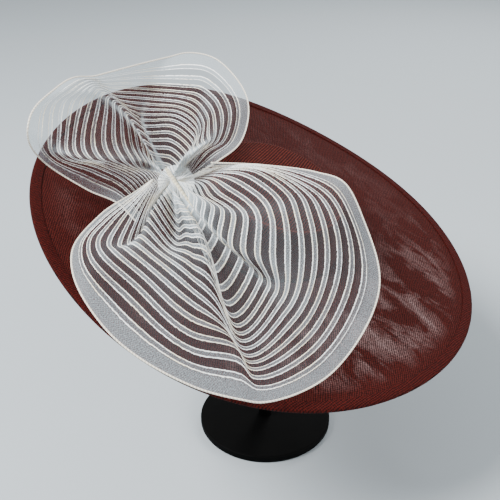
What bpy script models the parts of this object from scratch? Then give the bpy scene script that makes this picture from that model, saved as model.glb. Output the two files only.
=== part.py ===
"""Wide brim hat with a pleated crinoline bow, resting tilted on a plain round stand.

Metres, +Z up. The origin is the centre of the stand's foot, on the surface that it
stands on. The hat is modelled upright in its own frame, whose zero is the centre of the
brim where it meets the crown, and the empty "hat_pose" lifts and tilts it. From the
front the hat leans down to the right and towards the viewer.
"""
import math
from collections import namedtuple

import bmesh
import bpy
import numpy as np
from mathutils import Matrix, Vector

# Clearance between pieces that touch
GAP = 0.0003

# How the hat lies on the stand
HAT_CENTRE = (-0.005, 0.014, 0.243)
HAT_TILT = math.radians(22.5)
HAT_TILT_BEARING = math.radians(-34.5)

# Brim: a wide woven disc with a slow wave in its edge
BRIM_RADIUS = 0.230
BRIM_WALL = 0.0016
BRIM_UNDERLAP = 0.006
BRIM_STEPS_ROUND = 72

# Waves of the brim's edge, heights as shares of the brim's radius
Wave = namedtuple("Wave", "count height crest_bearing")
BRIM_WAVES = (
    Wave(2, 0.032, -31),
    Wave(3, 0.010, -11),
    Wave(4, 0.007, 38),
)

# Where the brim's rings lie, from the inner edge (0) to the outer edge (1)
BRIM_RINGS = (0.0, 0.07, 0.28, 0.52, 0.76)

# Folded binding that wraps the brim's edge
BINDING_WIDTH = 0.0105
BINDING_WALL = 0.0010

# Crown: a low round cap, flared towards the brim
CROWN_BASE_RADIUS = 0.085
CROWN_TOP_RADIUS = 0.069
CROWN_HEIGHT = 0.0505
CROWN_DOME = 0.003
CROWN_WALL = 0.0016
CROWN_SHOULDER = 0.005
CROWN_STEPS_ROUND = 48

# Rings of the crown's side, height and flare as shares of the side's height and flare
Ring = namedtuple("Ring", "height flare")
CROWN_RINGS = (Ring(0.0, 1.0), Ring(0.14, 0.70), Ring(0.36, 0.40), Ring(0.64, 0.16), Ring(1.0, 0.0))

# Crinoline strip of the bow, gathered along one edge into a seam
STRIP_WIDTH = 0.216
STRIP_WALL = 0.0010
LOOP_STEPS_PER_FOLD = 4
LOOP_STEPS_ACROSS = 11

# The gathered seam beside the crown: place by bearing about the hat's centre and by
# distance outside the crown's base; distance and lift are shares of the strip's width
Place = namedtuple("Place", "bearing outside lift")
SEAM_BACK = Place(168, 0.184, 0.125)
SEAM_MIDDLE = Place(191, 0.088, 0.165)
SEAM_FRONT = Place(224, 0.058, 0.165)
BOW_CENTRE = Place(200.3, 0.060, 0.0)

# The knot that holds the gathers, a narrow ridge from the brim up to the seam
KNOT_HALF_WIDTH = 0.0045
KNOT_CREST = 0.004
KNOT_END_TAPER = 0.3
ROOT_CLEARANCE = STRIP_WALL / 2 + GAP
SEAM_PINCH = 0.12
GATHER_DROP = 0.010

# Each fold runs from the seam to the strip's free edge. Its five stations lie at
# these shares of the strip's width, and the first of them is the seam itself
STATIONS = (0.0, 0.35, 0.65, 0.85, 1.0)

# A fold's root is its place along its half of the seam, from the pinch (0) to the end (1),
# and its side is the brim's (1) or the crown's (-1); between them it rounds the seam's end.
# A station is (bearing in degrees about the bow's centre, reach, lift above the hat),
# with reach and lift as shares of the strip's width
Fold = namedtuple("Fold", "name root side near middle far edge")
FRONT_LOOP = (
    Fold("end under", 0.00, 1.0, (163, 0.08, 0.18), (176, 0.11, 0.18), (182, 0.13, 0.18), (168, 0.13, 0.16)),
    Fold("left near", 0.06, 1.0, (191, 0.08, 0.17), (213, 0.15, 0.19), (210, 0.19, 0.17), (197, 0.19, 0.14)),
    Fold("left panel", 0.12, 1.0, (220, 0.13, 0.12), (240, 0.32, 0.18), (228, 0.40, 0.14), (217, 0.38, 0.10)),
    Fold("left valley", 0.18, 1.0, (223, 0.12, 0.10), (247, 0.44, 0.15), (235, 0.53, 0.14), (229, 0.56, 0.06)),
    Fold("left crest", 0.24, 1.0, (239, 0.19, 0.17), (251, 0.46, 0.18), (243, 0.61, 0.17), (241, 0.68, 0.09)),
    Fold("front left", 0.40, 1.0, (272, 0.22, 0.10), (262, 0.49, 0.18), (259, 0.64, 0.13), (257, 0.79, 0.07)),
    Fold("front bulge", 0.66, 1.0, (282, 0.32, 0.19), (280, 0.60, 0.17), (281, 0.80, 0.11), (281, 0.95, 0.07)),
    Fold("bulge ridge", 0.90, 1.0, (293, 0.37, 0.19), (289, 0.71, 0.16), (293, 0.84, 0.10), (291, 1.01, 0.07)),
    Fold("deep valley", 1.00, 0.5, (298, 0.53, 0.06), (296, 0.78, 0.06), (296, 0.90, 0.06), (296, 1.03, 0.06)),
    Fold("right ridge", 1.00, -0.5, (312, 0.52, 0.16), (311, 0.76, 0.17), (313, 0.90, 0.12), (315, 1.02, 0.07)),
    Fold("right panel", 0.90, -1.0, (300, 0.45, 0.27), (322, 0.66, 0.30), (332, 0.80, 0.28), (338, 0.94, 0.23)),
    Fold("right crest", 0.70, -1.0, (308, 0.34, 0.33), (332, 0.53, 0.39), (345, 0.67, 0.38), (354, 0.79, 0.33)),
    Fold("upper right", 0.50, -1.0, (311, 0.27, 0.31), (340, 0.45, 0.18), (353, 0.58, 0.17), (4, 0.68, 0.17)),
    Fold("top panel", 0.33, -1.0, (316, 0.17, 0.27), (354, 0.30, 0.16), (3, 0.44, 0.15), (14, 0.57, 0.13)),
    Fold("top near", 0.15, -1.0, (345, 0.08, 0.24), (15, 0.19, 0.08), (24, 0.29, 0.08), (28, 0.39, 0.06)),
    Fold("end over", 0.00, -1.0, (107, 0.03, 0.21), (342, 0.02, 0.26), (356, 0.05, 0.30), (15, 0.09, 0.24)),
)
BACK_LOOP = (
    Fold("end front", 0.00, 1.0, (149, 0.11, 0.13), (187, 0.12, 0.10), (207, 0.15, 0.07), (222, 0.20, 0.04)),
    Fold("front near", 0.15, 1.0, (141, 0.17, 0.13), (178, 0.18, 0.15), (192, 0.22, 0.13), (200, 0.24, 0.06)),
    Fold("front panel", 0.30, 1.0, (141, 0.23, 0.12), (189, 0.33, 0.23), (189, 0.37, 0.19), (183, 0.39, 0.05)),
    Fold("front lip", 0.45, 1.0, (149, 0.24, 0.17), (197, 0.43, 0.29), (191, 0.52, 0.23), (180, 0.58, 0.11)),
    Fold("left wall", 0.62, 1.0, (143, 0.33, 0.20), (175, 0.47, 0.29), (186, 0.57, 0.32), (190, 0.67, 0.34)),
    Fold("left top", 0.78, 1.0, (147, 0.35, 0.29), (165, 0.49, 0.37), (174, 0.59, 0.37), (183, 0.66, 0.39)),
    Fold("left crest", 0.90, 1.0, (146, 0.38, 0.32), (164, 0.48, 0.43), (166, 0.55, 0.42), (169, 0.62, 0.41)),
    Fold("back left", 1.00, 0.7, (119, 0.49, 0.16), (129, 0.59, 0.24), (134, 0.62, 0.30), (137, 0.65, 0.32)),
    Fold("deep crease", 1.00, -0.7, (108, 0.60, 0.06), (105, 0.77, 0.10), (104, 0.84, 0.16), (101, 0.98, 0.21)),
    Fold("back right", 0.90, -1.0, (102, 0.46, 0.18), (98, 0.63, 0.21), (96, 0.78, 0.23), (95, 1.03, 0.24)),
    Fold("right crest", 0.60, -1.0, (90, 0.23, 0.28), (91, 0.43, 0.32), (89, 0.68, 0.31), (86, 0.97, 0.29)),
    Fold("right wall", 0.40, -1.0, (89, 0.17, 0.28), (84, 0.34, 0.32), (81, 0.60, 0.32), (77, 0.83, 0.30)),
    Fold("right lip", 0.22, -1.0, (100, 0.11, 0.28), (79, 0.21, 0.31), (73, 0.46, 0.33), (69, 0.68, 0.29)),
    Fold("right low", 0.12, -1.0, (98, 0.10, 0.245), (70, 0.14, 0.29), (65, 0.30, 0.06), (57, 0.41, 0.04)),
    Fold("right near", 0.05, -1.0, (95, 0.11, 0.21), (80, 0.12, 0.26), (66, 0.13, 0.24), (45, 0.18, 0.05)),
    Fold("end back", 0.00, -1.0, (97, 0.10, 0.18), (88, 0.11, 0.18), (80, 0.12, 0.17), (75, 0.13, 0.15)),
)

# Stand: a heavy round foot, a post, and a plate that carries the crown from inside;
# the inset is the room between the plate's rim and the edge of the crown's flat top
FOOT_RADIUS = 0.073
FOOT_HEIGHT = 0.008
FOOT_BEVEL = 0.002
POST_RADIUS = 0.007
PLATE_INSET = 0.014
PLATE_HEIGHT = 0.006
PLATE_BEVEL = 0.0015
STAND_STEPS_ROUND = 40


def clear_scene():
    """Remove every object, so that the script starts from an empty scene."""
    for thing in list(bpy.data.objects):
        bpy.data.objects.remove(thing, do_unlink=True)


def make_material(name, colour, roughness, metallic=0.0):
    """Principled material with one colour."""
    material = bpy.data.materials.new(name)
    material.use_nodes = True
    shader = material.node_tree.nodes["Principled BSDF"]
    shader.inputs["Base Color"].default_value = (*colour, 1.0)
    shader.inputs["Roughness"].default_value = roughness
    shader.inputs["Metallic"].default_value = metallic
    return material


def add_object(name, bm, material, parent=None):
    """Turn a bmesh into a named object that is shaded smooth."""
    bmesh.ops.recalc_face_normals(bm, faces=bm.faces)
    mesh = bpy.data.meshes.new(name)
    bm.to_mesh(mesh)
    bm.free()
    mesh.materials.append(material)
    mesh.shade_smooth()
    mesh.set_sharp_from_angle(angle=math.radians(40))
    thing = bpy.data.objects.new(name, mesh)
    bpy.context.collection.objects.link(thing)
    thing.parent = parent
    return thing


def add_hat_pose():
    """Empty that lifts the hat to its height and tips it."""
    pose = bpy.data.objects.new("hat_pose", None)
    bpy.context.collection.objects.link(pose)
    pose.location = HAT_CENTRE
    pose.rotation_mode = "AXIS_ANGLE"
    pose.rotation_axis_angle = (HAT_TILT, -math.sin(HAT_TILT_BEARING), math.cos(HAT_TILT_BEARING), 0.0)
    return pose


def hat_axis():
    """Direction of the hat's own up in the world."""
    lean = math.sin(HAT_TILT)
    return Vector((lean * math.cos(HAT_TILT_BEARING), lean * math.sin(HAT_TILT_BEARING), math.cos(HAT_TILT)))


def brim_lift(x, y):
    """Height of the middle of the brim's wall, in the hat's frame."""
    radius = math.hypot(x, y)
    bearing = math.atan2(y, x)
    edge = sum(
        wave.height * BRIM_RADIUS * math.cos(wave.count * (bearing - math.radians(wave.crest_bearing)))
        for wave in BRIM_WAVES
    )
    spread = max(0.0, (radius - CROWN_BASE_RADIUS) / (BRIM_RADIUS - CROWN_BASE_RADIUS))
    return edge * spread**1.6 - BRIM_WALL / 2


def hat_height(x, y):
    """Height of the hat's outer surface, crown or brim, at a place in plan."""
    radius = math.hypot(x, y)
    if radius >= CROWN_BASE_RADIUS:
        return brim_lift(x, y) + BRIM_WALL / 2
    rise = min(1.0, (CROWN_BASE_RADIUS - radius) / (CROWN_BASE_RADIUS - CROWN_TOP_RADIUS))
    return CROWN_HEIGHT * rise


def build_brim(material, pose):
    """Wavy disc with a wall, open in the middle for the head."""
    inner = CROWN_BASE_RADIUS - BRIM_UNDERLAP
    edge = BRIM_RADIUS - BINDING_WALL - GAP
    hem = BRIM_RADIUS - BINDING_WIDTH
    rings = [inner + share * (hem - inner) for share in BRIM_RINGS] + [hem, edge]
    bm = bmesh.new()
    bmesh.ops.create_circle(bm, cap_ends=False, segments=BRIM_STEPS_ROUND, radius=rings[0])
    outline = list(bm.edges)
    for radius in rings[1:]:
        outline = grow_ring(bm, outline, radius)
    for vert in bm.verts:
        vert.co.z = brim_lift(vert.co.x, vert.co.y)
    for face in bm.faces:
        if face.normal.z < 0:
            face.normal_flip()
    brim = add_object("brim", bm, material, pose)
    add_wall(brim, BRIM_WALL)


def grow_ring(bm, outline, radius):
    """Extrude a ring of edges outwards to a radius and give the new ring."""
    grown = bmesh.ops.extrude_edge_only(bm, edges=outline)["geom"]
    for vert in (part for part in grown if isinstance(part, bmesh.types.BMVert)):
        vert.co *= radius / math.hypot(vert.co.x, vert.co.y)
    return [part for part in grown if isinstance(part, bmesh.types.BMEdge)]


def add_wall(thing, thickness):
    """Give a sheet its wall, half to each side."""
    wall = thing.modifiers.new("wall", "SOLIDIFY")
    wall.thickness = thickness
    wall.offset = 0.0


def build_binding(material, pose):
    """Strip folded over the brim's edge, with a U-shaped section."""
    wall = BINDING_WALL
    clear = BRIM_WALL / 2 + GAP
    inner = BRIM_RADIUS - BINDING_WIDTH
    edge = BRIM_RADIUS - wall
    section = (
        (inner, clear),
        (edge, clear),
        (edge, -clear),
        (inner, -clear),
        (inner, -clear - wall),
        (edge, -clear - wall),
        (BRIM_RADIUS, 0.0),
        (edge, clear + wall),
        (inner, clear + wall),
    )
    bm = bmesh.new()
    verts = [bm.verts.new((radius, 0.0, lift)) for radius, lift in section]
    edges = [bm.edges.new((verts[i - 1], verts[i])) for i in range(len(verts))]
    bmesh.ops.spin(
        bm,
        geom=verts + edges,
        cent=(0, 0, 0),
        axis=(0, 0, 1),
        angle=math.tau,
        steps=BRIM_STEPS_ROUND,
        use_merge=True,
    )
    bmesh.ops.remove_doubles(bm, verts=bm.verts, dist=0.00001)
    for vert in bm.verts:
        vert.co.z += brim_lift(vert.co.x, vert.co.y)
    add_object("brim_binding", bm, material, pose)


def crown_profile():
    """Outer line of the crown as (radius, height), from the base to the middle."""
    side = CROWN_HEIGHT - CROWN_SHOULDER
    flare = CROWN_BASE_RADIUS - CROWN_TOP_RADIUS
    line = [(CROWN_TOP_RADIUS + ring.flare * flare, GAP + ring.height * (side - GAP)) for ring in CROWN_RINGS]
    for turn in (math.radians(45), math.radians(90)):
        radius = CROWN_TOP_RADIUS - CROWN_SHOULDER * (1 - math.cos(turn))
        line.append((radius, side + CROWN_SHOULDER * math.sin(turn)))
    flat = CROWN_TOP_RADIUS - CROWN_SHOULDER
    for share in (0.5, 0.0):
        line.append((flat * share, CROWN_HEIGHT + CROWN_DOME * (1 - share**2)))
    return line


def build_crown(material, pose):
    """Low cap turned from its profile, hollow and open below."""
    outer = crown_profile()
    inner = offset_profile(outer, CROWN_WALL)
    inner[0] = (outer[0][0] - CROWN_WALL, outer[0][1])
    bm = bmesh.new()
    verts = [bm.verts.new((radius, 0.0, height)) for radius, height in outer + inner[::-1]]
    ends = len(verts)
    pole = len(outer) - 1
    edges = [bm.edges.new((verts[i], verts[(i + 1) % ends])) for i in range(ends) if i != pole]
    bmesh.ops.spin(
        bm,
        geom=verts + edges,
        cent=(0, 0, 0),
        axis=(0, 0, 1),
        angle=math.tau,
        steps=CROWN_STEPS_ROUND,
        use_merge=True,
    )
    bmesh.ops.remove_doubles(bm, verts=bm.verts, dist=0.00001)
    bmesh.ops.dissolve_degenerate(bm, edges=bm.edges, dist=0.00001)
    add_object("crown", bm, material, pose)


def offset_profile(line, wall):
    """The same line moved inwards by a wall, ending on the axis."""
    moved = []
    for i, (radius, height) in enumerate(line):
        before = line[max(i - 1, 0)]
        after = line[min(i + 1, len(line) - 1)]
        run = Vector((after[0] - before[0], after[1] - before[1])).normalized()
        moved.append((radius - run.y * wall, height + run.x * wall))
    moved[-1] = (0.0, line[-1][1] - wall)
    return moved


def place_on_hat(place):
    """Point of the hat's frame that a Place row names."""
    bearing = math.radians(place.bearing)
    radius = CROWN_BASE_RADIUS + place.outside * STRIP_WIDTH
    x, y = radius * math.cos(bearing), radius * math.sin(bearing)
    return Vector((x, y, hat_height(x, y) + place.lift * STRIP_WIDTH))


def smooth_curve(knots, points, position):
    """Point at a position on the smooth curve through points set at knots."""
    last = len(knots) - 1
    i = min(max(int(np.searchsorted(knots, position, side="right")) - 1, 0), last - 1)
    step = knots[i + 1] - knots[i]
    t = (position - knots[i]) / step
    start, end = curve_slope(knots, points, i), curve_slope(knots, points, i + 1)
    return (
        (2 * t**3 - 3 * t**2 + 1) * points[i]
        + (t**3 - 2 * t**2 + t) * step * start
        + (3 * t**2 - 2 * t**3) * points[i + 1]
        + (t**3 - t**2) * step * end
    )


def curve_slope(knots, points, i):
    """Slope of the smooth curve at one of its knots."""
    last = len(knots) - 1
    if i == 0:
        return (points[1] - points[0]) / (knots[1] - knots[0])
    if i == last:
        return (points[last] - points[last - 1]) / (knots[last] - knots[last - 1])
    before, after = knots[i] - knots[i - 1], knots[i + 1] - knots[i]
    rise_before = (points[i] - points[i - 1]) / before
    rise_after = (points[i + 1] - points[i]) / after
    return (rise_before * after + rise_after * before) / (before + after)


def seam_curve(share):
    """Point of the seam, from its back end (0) over its middle to its front end (1)."""
    places = np.array([place_on_hat(place) for place in (SEAM_BACK, SEAM_MIDDLE, SEAM_FRONT)])
    return Vector(smooth_curve((0.0, 0.5, 1.0), places, share))


def seam_frame(share):
    """Directions along the seam towards its front end, and outwards from the crown."""
    along = seam_curve(min(share + 0.02, 1.0)) - seam_curve(max(share - 0.02, 0.0))
    ahead = Vector((along.x, along.y, 0.0)).normalized()
    return ahead, Vector((ahead.y, -ahead.x, 0.0))


def seam_root(front, root, side):
    """Point of a gathered edge that runs out along the seam and back round its end."""
    half = 0.5 * (SEAM_PINCH + (1 - SEAM_PINCH) * root)
    share = 0.5 + half if front else 0.5 - half
    ahead, outward = seam_frame(share)
    clear = KNOT_HALF_WIDTH + ROOT_CLEARANCE
    past_end = clear * math.sqrt(1 - side**2) * (1 if front else -1)
    drop = Vector((0.0, 0.0, -GATHER_DROP * root**2))
    return seam_curve(share) + ahead * past_end + outward * clear * side + drop


def fold_net(folds, front):
    """Points of a loop: a row for each fold and a column for each station."""
    centre = place_on_hat(BOW_CENTRE)
    net = []
    for fold in folds:
        row = [seam_root(front, fold.root, fold.side)]
        for bearing, reach, lift in (fold.near, fold.middle, fold.far, fold.edge):
            angle = math.radians(bearing)
            x = centre.x + reach * STRIP_WIDTH * math.cos(angle)
            y = centre.y + reach * STRIP_WIDTH * math.sin(angle)
            row.append(Vector((x, y, hat_height(x, y) + lift * STRIP_WIDTH)))
        net.append([np.array(point) for point in row])
    return np.array(net)


def fold_positions(net):
    """Where each fold lies along the strip, by the lengths between the folds."""
    steps = np.linalg.norm(np.diff(net[:, (2, 4)], axis=0), axis=2).mean(axis=1)
    return np.concatenate(([0.0], np.cumsum(np.maximum(steps, STRIP_WIDTH * 0.02))))


def build_loop(name, folds, front, material, pose):
    """One loop of the bow: a sheet through the folds, with a wall."""
    net = fold_net(folds, front)
    positions = fold_positions(net)
    spans = len(folds) - 1
    bm = bmesh.new()
    bmesh.ops.create_grid(bm, x_segments=spans * LOOP_STEPS_PER_FOLD, y_segments=LOOP_STEPS_ACROSS, size=0.5)
    for vert in bm.verts:
        along = float(np.interp((vert.co.x + 0.5) * spans, range(spans + 1), positions))
        across = vert.co.y + 0.5
        row = np.array([smooth_curve(STATIONS, fold, across) for fold in net])
        vert.co = smooth_curve(positions, row, along)
    loop = add_object(name, bm, material, pose)
    add_wall(loop, STRIP_WALL)


def build_knot(material, pose):
    """Ridge of gathered crinoline that stands on the brim under the seam."""
    bm = bmesh.new()
    bmesh.ops.create_cone(bm, cap_ends=True, segments=12, radius1=1.0, radius2=1.0, depth=1.0)
    lengthwise = [edge for edge in bm.edges if abs(edge.verts[0].co.z - edge.verts[1].co.z) > 0.5]
    bmesh.ops.subdivide_edges(bm, edges=lengthwise, cuts=9, use_grid_fill=True)
    for vert in bm.verts:
        share = vert.co.z + 0.5
        middle = seam_curve(share)
        taper = math.sqrt(max(KNOT_END_TAPER, 1 - (2 * share - 1) ** 6))
        place = middle + seam_frame(share)[1] * vert.co.x * KNOT_HALF_WIDTH * taper
        foot = hat_height(place.x, place.y) + GAP
        reach = KNOT_CREST * taper if vert.co.y > 0 else middle.z - foot
        vert.co = (place.x, place.y, middle.z + reach * vert.co.y)
    add_object("bow_knot", bm, material, pose)


def build_disc(name, radius, height, bevel, material, parent=None):
    """Round plate with softened edges, standing on zero."""
    bm = bmesh.new()
    bmesh.ops.create_cone(
        bm,
        cap_ends=True,
        segments=STAND_STEPS_ROUND,
        radius1=radius,
        radius2=radius,
        depth=height,
        matrix=Matrix.Translation((0, 0, height / 2)),
    )
    rims = [edge for edge in bm.edges if abs(edge.verts[0].co.z - edge.verts[1].co.z) < height / 2]
    bmesh.ops.bevel(bm, geom=rims, offset=bevel, segments=1, profile=0.5, affect="EDGES", material=-1)
    return add_object(name, bm, material, parent)


def plate_radius():
    """Radius of the plate, inside the crown's flat top by the plate's inset."""
    return CROWN_TOP_RADIUS - CROWN_SHOULDER - PLATE_INSET


def plate_lift():
    """Height of the plate's underside in the hat's frame, its rim just under the crown."""
    flat = CROWN_TOP_RADIUS - CROWN_SHOULDER
    ceiling = CROWN_HEIGHT + CROWN_DOME * (1 - (plate_radius() / flat) ** 2) - CROWN_WALL
    return ceiling - GAP - PLATE_HEIGHT


def build_stand(metal, wood, pose):
    """Foot on the floor, post on its middle, plate under the crown."""
    build_disc("stand_foot", FOOT_RADIUS, FOOT_HEIGHT, FOOT_BEVEL, metal)
    plate = build_disc("stand_top", plate_radius(), PLATE_HEIGHT, PLATE_BEVEL, wood, pose)
    plate.location = (0, 0, plate_lift())
    seat = Vector(HAT_CENTRE) + hat_axis() * (plate_lift() - GAP)
    bm = bmesh.new()
    foot_top = FOOT_HEIGHT + GAP
    tall = seat.z + POST_RADIUS * 2 - foot_top
    bmesh.ops.create_cone(
        bm,
        cap_ends=True,
        segments=24,
        radius1=POST_RADIUS,
        radius2=POST_RADIUS,
        depth=tall,
        matrix=Matrix.Translation((0, 0, foot_top + tall / 2)),
    )
    cut = bmesh.ops.bisect_plane(
        bm, geom=bm.verts[:] + bm.edges[:] + bm.faces[:], plane_co=seat, plane_no=hat_axis(), clear_outer=True
    )
    rim = [part for part in cut["geom_cut"] if isinstance(part, bmesh.types.BMEdge)]
    bmesh.ops.contextual_create(bm, geom=rim)
    add_object("stand_post", bm, metal)


def main():
    """Build the stand, then the hat in its pose."""
    clear_scene()
    straw = make_material("burgundy_straw", (0.085, 0.030, 0.028), 0.42)
    crin = make_material("white_crinoline", (0.72, 0.74, 0.76), 0.45)
    metal = make_material("black_metal", (0.010, 0.010, 0.011), 0.50)
    wood = make_material("black_wood", (0.012, 0.012, 0.012), 0.60)
    pose = add_hat_pose()
    build_stand(metal, wood, pose)
    build_brim(straw, pose)
    build_binding(straw, pose)
    build_crown(straw, pose)
    build_knot(crin, pose)
    build_loop("bow_front_loop", FRONT_LOOP, True, crin, pose)
    build_loop("bow_back_loop", BACK_LOOP, False, crin, pose)


main()
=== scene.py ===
"""Wide brim hat with a pleated crinoline bow, on a plain round stand.

Lengths are in metres unless a name ends in _mm. The hat is worked out upright in its own
frame and then put into its pose, so every object sits at the origin, with its place in
its mesh.
"""
import logging
import math
from dataclasses import dataclass
from enum import Enum

import bmesh
import bpy
import numpy as np
from mathutils import Matrix, Vector, noise


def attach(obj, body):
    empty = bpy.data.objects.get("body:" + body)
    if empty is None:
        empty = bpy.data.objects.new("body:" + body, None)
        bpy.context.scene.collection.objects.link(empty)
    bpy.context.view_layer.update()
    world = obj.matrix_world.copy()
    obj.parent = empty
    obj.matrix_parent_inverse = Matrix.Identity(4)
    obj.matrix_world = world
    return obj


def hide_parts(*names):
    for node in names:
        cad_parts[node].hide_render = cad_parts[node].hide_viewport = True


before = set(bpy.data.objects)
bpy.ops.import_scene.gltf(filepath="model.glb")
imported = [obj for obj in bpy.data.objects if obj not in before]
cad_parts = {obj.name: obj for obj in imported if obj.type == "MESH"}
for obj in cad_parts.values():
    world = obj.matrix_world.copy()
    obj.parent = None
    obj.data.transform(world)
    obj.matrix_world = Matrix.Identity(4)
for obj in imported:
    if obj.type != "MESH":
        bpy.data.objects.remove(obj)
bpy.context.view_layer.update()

log = logging.getLogger("hat")

BODY = "root"
MM = 0.001
DIAGONAL = 1.414  # of a square, over its side
GAP = 0.0003
WELD = 0.00001

# Tucks of the bow's strips, measured in from the free edge.
FIRST_TUCK_MM = 15.5
TUCK_PITCH_MM = 12.7
TUCK_HALF_MM = 2.2
TUCKS = 16
LINE_HALF_MM = 0.45


def linear(code: str) -> tuple[float, float, float, float]:
    """Turn an sRGB hex colour to linear light.

    Args:
        code: six hex digits, such as "5A2A24".

    Returns:
        Red, green, blue and an alpha of 1.
    """
    parts = [int(code[i : i + 2], 16) / 255 for i in (0, 2, 4)]
    return (*(p / 12.92 if p <= 0.04045 else ((p + 0.055) / 1.055) ** 2.4 for p in parts), 1.0)


def add_node(
    tree: bpy.types.NodeTree, kind: str, inputs: dict | None = None, **settings: object
) -> bpy.types.Node:
    """Add a node with its settings, values and links.

    Args:
        tree: node tree that gets the node.
        kind: the node's type.
        inputs: socket name or number to a value, or to a node or output that feeds it.
        **settings: properties of the node itself.

    Returns:
        The new node.
    """
    node = tree.nodes.new(kind)
    for name, value in settings.items():
        setattr(node, name, value)
    for key, value in (inputs or {}).items():
        if isinstance(value, bpy.types.Node):
            value = value.outputs[0]
        if isinstance(value, bpy.types.NodeSocket):
            tree.links.new(value, node.inputs[key])
        else:
            node.inputs[key].default_value = value
    return node


def new_material(name: str) -> tuple[bpy.types.Material, bpy.types.NodeTree, bpy.types.Node]:
    """Make a node material with a Principled shader.

    Args:
        name: the material's name.

    Returns:
        The material, its node tree and its shader.
    """
    material = bpy.data.materials.new(name)
    material.use_nodes = True
    tree = material.node_tree
    return material, tree, tree.nodes["Principled BSDF"]


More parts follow.
